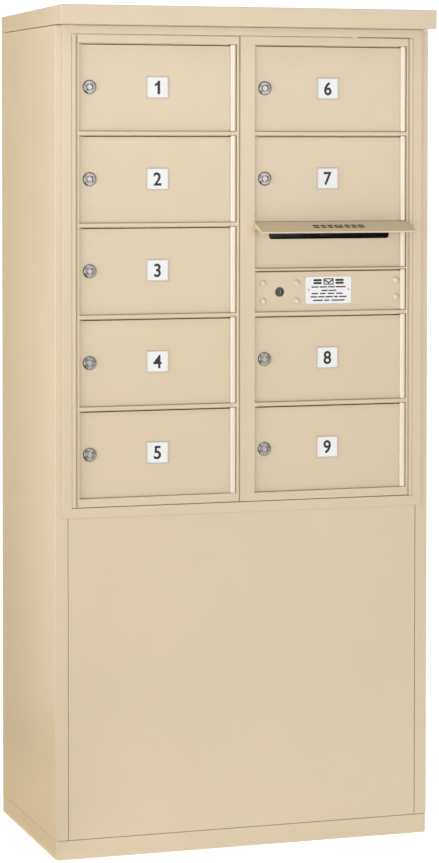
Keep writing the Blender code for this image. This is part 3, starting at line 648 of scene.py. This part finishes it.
def hinge_strip(side):
    """The fixed leaf beside each master door: an angle whose face curves away towards the gap."""
    node = "master_hinge_strip_" + side
    low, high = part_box(node)
    gap_x, far_x = (high.x, low.x) if side == "left" else (low.x, high.x)
    away = -1 if side == "left" else 1
    ledge_x = gap_x - away * LEDGE_REACH
    ledge_front = low.y + LAP_DEPTH + LEDGE_THICKNESS
    ledge_back = ledge_front + LEDGE_THICKNESS
    leg_x, leaf_back = gap_x + away * SHEET, low.y + STRIP_THICKNESS
    points = [
        (far_x, low.y), (gap_x, low.y), (gap_x, ledge_front), (ledge_x, ledge_front), (ledge_x, ledge_back),
        (gap_x, ledge_back), (gap_x, high.y), (leg_x, high.y), (leg_x, leaf_back), (far_x, leaf_back),
    ]
    radii = [CORNER_ROUND, GAP_ROUND, 0, 0.0003, 0.0003, 0, 0.0005, 0.0005, 0.0005, CUT_ROUND]
    section = rounded(points, radii)
    mesh = slab([section], "z", low.z, high.z)
    add_piece(node + "_folded", mesh, paint["trim"], "cabinet", (node,))
    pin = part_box("master_hinge_rod_" + side)
    x, y = (pin[0].x + pin[1].x) / 2, (pin[0].y + pin[1].y) / 2
    mesh = slab([circle(x, y, 0.0007, 16)], "z", pin[0].z, pin[1].z, 0.0002, 2)
    name = "master_hinge_pin_" + side
    add_piece(name, mesh, paint["trim"], "cabinet", ("master_hinge_rod_" + side,))


# ---------------------------------------------------------------- master doors


def column(side):
    """The opening's left and right edges, the hinge channel's left edge and each section's height span."""
    boxes = [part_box(node) for node in COLUMNS[side]]
    left = boxes[0][0].x - DOOR_EDGE_GAP
    right = boxes[0][1].x + BARREL_GAP
    channel = right - 2 * (BARREL_RADIUS + BARREL_GAP)
    spans = [(low.z - DOOR_EDGE_GAP, high.z + DOOR_EDGE_GAP) for low, high in boxes]
    return left, right, channel, spans


def meeting_lap(side, low, high):
    """A narrow ledge inside the gap where the two master doors meet."""
    edge, reach, front = high.x if side == "left" else low.x, LAP_REACH[side], FACE + LAP_DEPTH
    return soft_box((edge - reach, front, low.z), (edge + reach, front + LAP_THICKNESS, high.z), 0.0002)


def master_frame(side):
    """Stiles and rails with rounded fronts, stop lips behind them and lower rail ends behind the barrels."""
    node = "master_door_" + side
    low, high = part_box(node)
    left, right, channel, spans = column(side)
    teeth = []
    for bottom, top in spans:
        teeth += [(channel, bottom), (left, bottom), (left, top), (channel, top)]
    comb = [(right, spans[0][0])] + teeth[1:-1] + [(right, spans[-1][1])]
    outside = rectangle(low.x, low.z, high.x, high.z)
    front = slab([outside, comb], "y", FACE, LIP + FRAME_ROUND, FRAME_ROUND, 4)
    windows = []
    for bottom, top in spans:
        inner_left, sill, head = left + STOP_LIP, bottom + STOP_LIP, top - LIP_ABOVE
        windows.append([
            (inner_left, sill), (channel, sill), (channel, bottom), (right, bottom),
            (right, top), (channel, top), (channel, head), (inner_left, head),
        ])
    lips = slab([outside] + windows, "y", LIP, high.y, 0.0005, 2)
    ends = [meeting_lap(side, low, high)]
    for (_, top), (bottom, _) in zip(spans, spans[1:]):
        front_corner = (channel - RAIL_OVERLAP, FACE + RAIL_END_DROP, top)
        back_corner = (right + RAIL_OVERLAP, LIP + RAIL_OVERLAP / 2, bottom)
        ends.append(soft_box(front_corner, back_corner, RAIL_ROUND))
    mesh = boolean(front, [lips] + ends, "UNION")
    body = "master_" + side
    add_piece(node + "_frame", mesh, paint["master"], body, (node,))


def barrel_outline(x, y):
    """A barrel's section: a circle with its sides a little squared."""
    power = 2 / BARREL_SQUARENESS
    points = []
    for a, b in circle(0, 0, 1, 40):
        across, deep = math.copysign(abs(a) ** power, a), math.copysign(abs(b) ** power, b)
        points.append((x + BARREL_RADIUS * across, y + BARREL_RADIUS * deep))
    return points


def barrel(node, x, y, body):
    low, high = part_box(node)
    mesh = slab([barrel_outline(x, y), circle(x, y, BARREL_BORE, 16)], "z", low.z, high.z, SHEET_ROUND)
    add_piece(node + "_barrel", mesh, paint["barrel"], body)


def plate(node, holes, barrel_x, body, material):
    """A door's sheet with softened edges, cut for what passes through it."""
    low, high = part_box(node)
    right = barrel_x - BARREL_RADIUS + 0.001
    outside = rectangle(low.x, low.z - SHUT_BELOW, right, high.z - OPEN_ABOVE, CORNER_ROUND)
    mesh = slab([outside] + holes, "y", DOOR_FACE, DOOR_FACE + DOOR_THICKNESS, SHEET_ROUND)
    add_piece(node + "_sheet", mesh, material, body, (node,))


# ---------------------------------------------------------------- tenant doors


def cam_and_nut(cam_name, nut_name, plug_node, x, z, body):
    """The cam that hangs behind a lock, and the six-sided nut that holds it."""
    low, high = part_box(plug_node)
    nut_front = high.y - CAM_NUT_THICKNESS
    left, right, top = x - CAM_HALF_WIDTH, x + CAM_HALF_WIDTH, z + CAM_RISE
    corners = [(left, low.z), (right, low.z), (right, top), (left, top)]
    outline = rounded(corners, [0.002, 0.002, 0.0045, 0.0045])
    cam = slab([outline], "y", nut_front - CAM_THICKNESS, nut_front, 0.0003, 2)
    add_piece(cam_name, cam, steel, body)
    nut = slab([circle(x, z, CAM_NUT_RADIUS, 6)], "y", nut_front, high.y, 0.00015, 2)
    add_piece(nut_name, nut, steel, body)


def lock_parts(number):
    """A chrome bezel with a stepped face, and the key plug with its cam and nut behind the door."""
    bezel_node, plug_node, body = f"lock_body_{number}", f"lock_plug_{number}", f"lock_{number}"
    low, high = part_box(bezel_node)
    x, z = (low.x + high.x) / 2, (low.z + high.z) / 2
    proud = DOOR_FACE - low.y
    ring = (high.x - low.x) / 2
    back = DOOR_FACE - high.y
    profile = [
        (0.0, proud - 0.0034), (0.0067, proud - 0.0034), (0.0067, proud - 0.0007),
        (0.0070, proud - 0.0003), (0.0078, proud), (0.0087, proud - 0.0003),
        (0.0090, proud - 0.0007), (0.0091, proud - 0.0020), (0.0100, proud - 0.0020),
        (0.0101, proud - 0.0009), (0.0104, proud - 0.0005), (0.0110, proud - 0.0005),
        (0.0117, proud - 0.0009), (0.0125, proud - 0.0017), (0.0133, proud - 0.0026),
        (ring - 0.0002, 0.0009), (ring, 0.0003), (0.0095, 0.0003), (0.0095, back), (0.0, back),
    ]
    bezel = lathe(profile, (x, DOOR_FACE, z))
    add_piece(f"lock_bezel_{number}", bezel, chrome, f"tenant_{number}", (bezel_node,))
    plug_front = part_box(plug_node)[0].y
    front = DOOR_FACE - plug_front
    core = lathe([
        (0.0, front), (0.0024, front), (0.0027, front - 0.0007), (0.0036, front - 0.0007), (0.0040, front),
        (0.0052, front), (0.0060, front - 0.0007), (0.0060, front - 0.0016), (0.0, front - 0.0016),
    ], (x, DOOR_FACE, z), 48)
    ahead = plug_front - 0.003
    keyway = soft_box((x - 0.0008, ahead, z - 0.0041), (x + 0.0008, plug_front + 0.0013, z + 0.0041), 0.0003)
    ward = soft_box((x - 0.0015, ahead, z - 0.0008), (x + 0.0002, plug_front + 0.0010, z + 0.0008), 0.0003)
    face = boolean(core, [keyway, ward], "DIFFERENCE")
    add_piece(f"lock_plug_face_{number}", face, steel, body, (plug_node,))
    cam_and_nut(f"lock_cam_{number}", f"lock_cam_nut_{number}", plug_node, x, z, body)


def number_card(number, side):
    """A white card in a thin raised edge, with the door's number printed on it."""
    low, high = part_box(f"tenant_door_{number}")
    x = low.x - DOOR_EDGE_GAP + CARD_FROM_OPENING[side]
    z = (low.z + high.z) / 2
    body = f"tenant_{number}"
    inner = centred(x, z, CARD_WIDTH, CARD_HEIGHT, CARD_CORNER)
    outer = centred(x, z, CARD_WIDTH + 2 * CARD_EDGE, CARD_HEIGHT + 2 * CARD_EDGE, CARD_EDGE_CORNER)
    face = DOOR_FACE - CARD_THICKNESS
    card = slab([inner], "y", face, DOOR_FACE, 0.0002, 2)
    add_piece(f"number_card_{number}", card, white, body)
    edge = slab([outer, inner], "y", DOOR_FACE - CARD_EDGE_PROUD, DOOR_FACE + 0.0002, CUT_ROUND, 2)
    # The edge's darker tint paints the soft shade round the card.
    add_piece(f"number_card_edge_{number}", edge, card_edge, body)
    if number == 1:
        digit = slab([[(a * DIGIT_SIZE, b * DIGIT_SIZE) for a, b in ONE]], "y", face - INK_THICKNESS, face)
    else:
        digit = font_digit(number, face)
    xs = [vertex.co.x for vertex in digit.vertices]
    zs = [vertex.co.z for vertex in digit.vertices]
    digit.transform(Matrix.Translation((x - (min(xs) + max(xs)) / 2, 0, z - (min(zs) + max(zs)) / 2)))
    add_piece(f"number_{number}", digit, ink, body)


def font_digit(number, face):
    """A printed digit in the built-in typeface, drawn a little narrower, as thin raised ink."""
    text = bpy.data.curves.new("digit", "FONT")
    text.body = str(number)
    text.size = DIGIT_SIZE
    text.offset = DIGIT_WEIGHT
    text.extrude = INK_THICKNESS / 2
    text.align_x, text.align_y = "CENTER", "CENTER"
    guide = in_scene("digit", text)
    place = Matrix.Translation((0, face - INK_THICKNESS / 2, 0))
    return baked(guide, place @ PLANES["y"] @ Matrix.Scale(DIGIT_STRETCH, 4, (1, 0, 0)))


def tenant_doors():
    for side, nodes in COLUMNS.items():
        for node in nodes:
            if not node.startswith("tenant_door_"):
                continue
            number = int(node.rsplit("_", 1)[1])
            axis = anchors[f"tenant_{number}_hinge"]
            lock_low, lock_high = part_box(f"lock_body_{number}")
            hole = circle((lock_low.x + lock_high.x) / 2, (lock_low.z + lock_high.z) / 2, LOCK_HOLE)
            plate(node, [hole], axis.x, f"tenant_{number}", paint["door"])
            barrel(node, axis.x, axis.y, f"tenant_{number}")
            lock_parts(number)
            number_card(number, side)


# ---------------------------------------------------------------- outgoing mail and master lock


def dome_bolts(node):
    """The bracket behind the lock panel and its dome-headed bolts, whose shanks pass through the panel."""
    low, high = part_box(node)
    proud = DOOR_FACE - low.y
    shank_end = DOOR_FACE - (high.y - SHEET)
    mesh = slab([rectangle(low.x, low.z, high.x, high.z, 0.002)], "y", LIP, high.y, 0.0005, 2)
    add_piece(node + "_plate", mesh, paint["master"], "master_right", (node,))
    profile = [(0.0, proud)]
    for step in range(1, 8):
        angle = step * math.pi / 16
        height = BOLT_SEAT + (proud - BOLT_SEAT) * math.cos(angle)
        profile.append((BOLT_RADIUS * math.sin(angle), height))
    profile += [(BOLT_RADIUS, BOLT_SEAT), (BOLT_RADIUS, 0.0001), (SHANK_RADIUS, 0.0001)]
    profile += [(SHANK_RADIUS, shank_end), (0.0, shank_end)]
    two_rows = high.x - low.x > 0.03
    xs = (low.x + BOLT_INSET, high.x - BOLT_INSET) if two_rows else ((low.x + high.x) / 2,)
    places = [(x, z) for x in xs for z in (low.z + BOLT_INSET, high.z - BOLT_INSET)]
    for count, (x, z) in enumerate(places, 1):
        bolt = lathe(profile, (x, DOOR_FACE, z), 32)
        add_piece(f"{node}_bolt_{count}", bolt, paint["bolt"], "master_right")


def envelope(x, z, width, height, y, line):
    """A plain envelope pictogram as thin raised ink: an outline and a flap of a given line width."""
    outer = centred(x, z, width, height, 0.0006)
    inner = centred(x, z, width - 2 * line, height - 2 * line)
    outline = slab([outer, inner], "y", y - INK_THICKNESS, y)
    left, right = x - width / 2 + line / 2, x + width / 2 - line / 2
    top, point = z + height / 2, z - height / 2 * 0.15
    flap = slab([[
        (left, top - line / 2), (x, point), (right, top - line / 2),
        (right, top - line * 2), (x, point - line * 1.6), (left, top - line * 2),
    ]], "y", y - INK_THICKNESS * 1.2, y + INK_THICKNESS * 0.2)
    return [outline, flap]


def bar(x0, x1, z, height, y):
    """A plain printed bar with round corners, as thin raised ink."""
    outline = rectangle(x0, z - height / 2, x1, z + height / 2, height * 0.4)
    return slab([outline], "y", y - INK_THICKNESS, y)


def merged(meshes, matrix=Matrix()):
    """Several separate shapes as one mesh."""
    bm = bmesh.new()
    for mesh in meshes:
        bm.from_mesh(mesh)
    bmesh.ops.transform(bm, matrix=matrix, verts=bm.verts)
    return from_bmesh(bm)


def label_plate():
    """A white plate with generic print: an envelope between two bars, and rows of plain dashes."""
    node = "label_plate"
    low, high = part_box(node)
    mesh = slab([rectangle(low.x, low.z, high.x, high.z, 0.004)], "y", low.y, high.y, 0.0002, 2)
    add_piece(node + "_card", mesh, white, "master_right", (node,))
    x = (low.x + high.x) / 2
    top = high.z
    marks = envelope(x, top - 0.0098, 0.021, 0.0125, low.y, 0.0020)
    for sign in (-1, 1):
        start, end = sorted((x + sign * 0.0145, x + sign * 0.0320))
        for drop in (0.0070, 0.0128):
            marks.append(bar(start, end, top - drop, 0.0042, low.y))
    add_piece("label_emblem", merged(marks), ink, "master_right")
    rows = [
        (0.0205, [(-0.036, -0.021), (-0.019, -0.003), (-0.001, 0.013), (0.015, 0.036)]),
        (0.0275, [(-0.015, -0.002), (0.000, 0.016)]),
        (0.0335, [(-0.036, -0.022), (-0.018, -0.006), (-0.002, 0.012), (0.016, 0.030)]),
        (0.0400, [(-0.038, -0.024), (-0.022, -0.009), (-0.007, 0.009), (0.011, 0.020), (0.022, 0.038)]),
        (0.0470, [(-0.033, -0.012), (-0.009, 0.002), (0.006, 0.034)]),
    ]
    dashes = []
    for drop, spans in rows:
        for start, end in spans:
            dashes.append(bar(x + start, x + end, top - drop, 0.0025, low.y))
    add_piece("label_rows", merged(dashes), ink, "master_right")
    rivet_z = (low.z + high.z) / 2 + 0.001
    dome = [(0.0, 0.0010), (0.0010, 0.0009), (0.0017, 0.0005), (0.0019, 0.0)]
    dome += [(0.0019, -0.0006), (0.0, -0.0006)]
    for name, rivet_x in (("left", low.x + 0.0062), ("right", high.x - 0.0062)):
        rivet = lathe(dome, (rivet_x, low.y, rivet_z), 24)
        add_piece("label_rivet_" + name, rivet, steel, "master_right")


def outgoing():
    """The panel with its slot, the rolled rim, the hood and the baffle behind the slot."""
    node = "outgoing_panel"
    axis = anchors["tenant_8_hinge"]
    baffle_low, baffle_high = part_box("slot_baffle")
    width = baffle_high.x - baffle_low.x + 2 * SLOT_PAST_BAFFLE
    x = (baffle_low.x + baffle_high.x) / 2
    z = baffle_high.z - SLOT_DROP + SLOT_HEIGHT / 2
    hole = centred(x, z, width, SLOT_HEIGHT, SLOT_CORNER)
    plate(node, [hole], axis.x, "master_right", paint["master"])
    barrel(node, axis.x, axis.y, "master_right")
    wide = centred(x, z, width + 2 * RIM_WIDTH, SLOT_HEIGHT + 2 * RIM_WIDTH, SLOT_CORNER + RIM_WIDTH)
    rim = slab([wide, hole], "y", DOOR_FACE - RIM_PROUD, DOOR_FACE + DOOR_THICKNESS / 2, RIM_ROUND)
    add_piece("outgoing_slot_rim", rim, paint["master"], "master_right")
    refined("outgoing_hood", paint["trim"], [(CORNER_ROUND, along("x", 0.30))])
    # The baffle's near-black is painted shade inside the slot.
    refined("slot_baffle", slot_shade_black, [(CUT_ROUND, along("x", 0.2))], 2)


def hood_mark():
    """Generic print that lies on the hood's slope: an envelope between short bars in two rows."""
    low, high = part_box("outgoing_hood")
    lip_height, shift_right = 0.0035, 0.006
    drop = high.z - low.z - lip_height
    slope = math.atan2(drop, high.y - low.y)
    middle = Vector(((low.x + high.x) / 2 + shift_right, (low.y + high.y) / 2, high.z - drop / 2))
    marks = envelope(0.0, 0.0, 0.0170, 0.0140, 0.0, 0.0026)
    for sign in (-1, 1):
        for ends in ((0.0120, 0.0235), (0.0265, 0.0375), (0.0405, 0.0540)):
            start, end = sorted(sign * distance for distance in ends)
            for row in (0.0042, -0.0042):
                marks.append(bar(start, end, row, 0.0056, 0.0))
    lay = Matrix.Translation(middle) @ Matrix.Rotation(slope - math.pi / 2, 4, "X")
    add_piece("hood_mark", merged(marks, lay), ink, "master_right")


def lock_section():
    """The panel with the master lock behind its round hole, and the bolted brackets that hold it."""
    node = "lock_panel"
    axis = anchors["tenant_8_hinge"]
    low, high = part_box("master_lock_body")
    x, z = (low.x + high.x) / 2, (low.z + high.z) / 2
    hole = circle(x, z, MASTER_LOCK_HOLE)
    plate(node, [hole], axis.x, "master_right", paint["master"])
    barrel(node, axis.x, axis.y, "master_right")
    dome_bolts("lock_bracket")
    dome_bolts("end_bracket")
    face = low.y
    depth = high.y - face
    nut = face - (LIP + SHEET + GAP)
    nut_end = nut - 0.0040
    profile = [
        (0.0, -0.0030), (0.0057, -0.0030), (0.0057, -0.0006), (0.0062, 0.0), (0.0083, 0.0), (0.0090, -0.0008),
        (0.0090, nut), (0.0128, nut), (0.0130, nut - 0.0002), (0.0130, nut_end + 0.0002), (0.0128, nut_end),
        (0.0090, nut_end), (0.0090, -depth), (0.0, -depth),
    ]
    body = lathe(profile, (x, face, z), 48)
    # The barrel and the plug face take the near-black steel as painted shade in the lock's hole.
    add_piece("master_lock_barrel", body, lock_hole_shade_steel, "master_right", ("master_lock_body",))
    plug_node = "master_lock_plug"
    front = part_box(plug_node)[0].y
    disc = [(0.0, 0.0), (0.0046, 0.0), (0.0052, -0.0005), (0.0052, -0.0026), (0.0, -0.0026)]
    keyway = soft_box((x - 0.0009, face - 0.004, z - 0.0037), (x + 0.0009, face + 0.0018, z + 0.0037), 0.0003)
    plug = boolean(lathe(disc, (x, front, z), 40), [keyway], "DIFFERENCE")
    add_piece("master_plug_face", plug, lock_hole_shade_steel, "master_lock", (plug_node,))
    start, end = (x + 0.0009, front - 0.0008, z - 0.0034), (x + 0.0021, front + 0.0010, z + 0.0034)
    ward = soft_box(start, end, 0.0003)
    add_piece("master_plug_ward", ward, chrome, "master_lock")
    cam_and_nut("master_cam", "master_cam_nut", plug_node, x, z, "master_lock")


def carried_over():
    """Solids of the frame that keep their shape and get their finished material."""
    finishes = {
        "compartment_rack_left": rack_metal,
        "compartment_rack_right": rack_metal,
        "master_strike": rack_metal,
        "tenant_hinge_rod_left": hinge_steel,
        "tenant_hinge_rod_right": hinge_steel,
    }
    for node, material in finishes.items():
        for holder in frame["nodes"][node].material_slots:
            holder.material = material


# ---------------------------------------------------------------- studio


def softbox(name, place, target, size, power, mirrored=True):
    """A rectangular light aimed at a point. Gloss and chrome mirror it unless told not to."""
    light = bpy.data.lights.new(name, "AREA")
    light.shape = "RECTANGLE"
    light.size, light.size_y = size
    light.energy = power
    obj = in_scene(name, light)
    obj.location = place
    obj.rotation_euler = (Vector(target) - Vector(place)).to_track_quat("-Z", "Y").to_euler()
    obj.visible_glossy = mirrored


def stage_piece(name, mesh, colour, glow=0.0):
    """A piece of the studio, matt and finely grained, which may glow white."""
    obj = in_scene(name, mesh)
    material = printed(name + "_paint", colour, 0.85, 3.0, 1.02, 0.02)
    shader = material.node_tree.nodes["Principled BSDF"]
    shader.inputs["Emission Color"].default_value = (1.0, 1.0, 1.0, 1.0)
    shader.inputs["Emission Strength"].default_value = glow
    mesh.materials.append(material)
    return obj


def studio_card(name, low, high, colour, bounces=False):
    """A card out of the camera's sight. Gloss mirrors it, and its colour may bounce onto the paint too."""
    card = stage_piece(name, soft_box(low, high, 0.001), colour)
    card.visible_camera = False
    card.visible_diffuse = bounces
    card.visible_shadow = False


def surroundings():
    """A studio with a white wall of air behind the object, softer air in front and a large pale floor."""
    world = bpy.data.worlds.new("studio_air")
    bpy.context.scene.world = world
    world.use_nodes = True
    tree = world.node_tree
    coordinates = tree.nodes.new("ShaderNodeTexCoord")
    behind = tree.nodes.new("ShaderNodeVectorMath")
    behind.operation = "DOT_PRODUCT"
    away_from_camera = (0.31, 0.95, 0.0)
    behind.inputs[1].default_value = away_from_camera
    tree.links.new(coordinates.outputs["Generated"], behind.inputs[0])
    background = tree.nodes["Background"]
    background.inputs["Color"].default_value = (1.0, 1.0, 1.0, 1.0)
    strength = ranged(tree, behind.outputs["Value"], AIR_IN_FRONT, AIR_BEHIND, 0.55, 0.85)
    tree.links.new(strength, background.inputs["Strength"])
    floor = slab([circle(0, 0, 40.0, 96)], "z", -0.02, 0.0)
    stage_piece("studio_floor", floor, (0.85, 0.85, 0.85), FLOOR_GLOW)
    dark_brown, sand, near_black = (0.12, 0.06, 0.01), (0.66, 0.56, 0.36), (0.02, 0.02, 0.02)
    studio_card("studio_flag_side", (-0.60, 0.45, 0.0), (-0.57, 6.0, 2.6), dark_brown)
    studio_card("studio_flag_low", (-1.8, -1.8, 0.001), (-0.388, 1.2, 0.004), sand, bounces=True)
    studio_card("studio_flag_front", (-2.6, -3.4, 0.012), (-0.42, -0.40, 0.016), near_black)


def studio():
    surroundings()
    middle = (0.0, 0.0, 0.95)
    softbox("left_softbox", (-3.4, -0.9, 1.1), middle, (1.6, 2.0), 68.0, mirrored=False)
    softbox("broad_softbox", (-2.9, -2.9, 1.4), (0.0, -0.2, 1.0), (1.6, 2.4), 33.0)
    softbox("top_softbox", (-0.7, -2.0, 4.1), middle, (2.0, 1.4), 18.0)
    softbox("right_softbox", (1.2, -4.6, 1.8), (0.0, 0.0, 1.2), (1.8, 1.6), 21.0)
    scene = bpy.context.scene
    scene.view_settings.view_transform = "Standard"
    scene.view_settings.look = "None"


def camera():
    data = bpy.data.cameras.new("studio_camera")
    data.lens = 119.56
    data.sensor_width = 36.0
    data.shift_y = -0.2214
    data.dof.use_dof = False
    obj = in_scene("studio_camera", data)
    obj.location = (-1.7945, -5.548, 1.3844)
    obj.rotation_euler = (math.radians(90 - 1.8906), math.radians(-0.0424), math.radians(-18.0793))
    bpy.context.scene.camera = obj


def build():
    enclosure()
    back_screws()
    trim()
    for side in ("left", "right"):
        hinge_strip(side)
        master_frame(side)
    tenant_doors()
    outgoing()
    hood_mark()
    lock_section()
    label_plate()
    carried_over()
    studio()
    camera()


build()
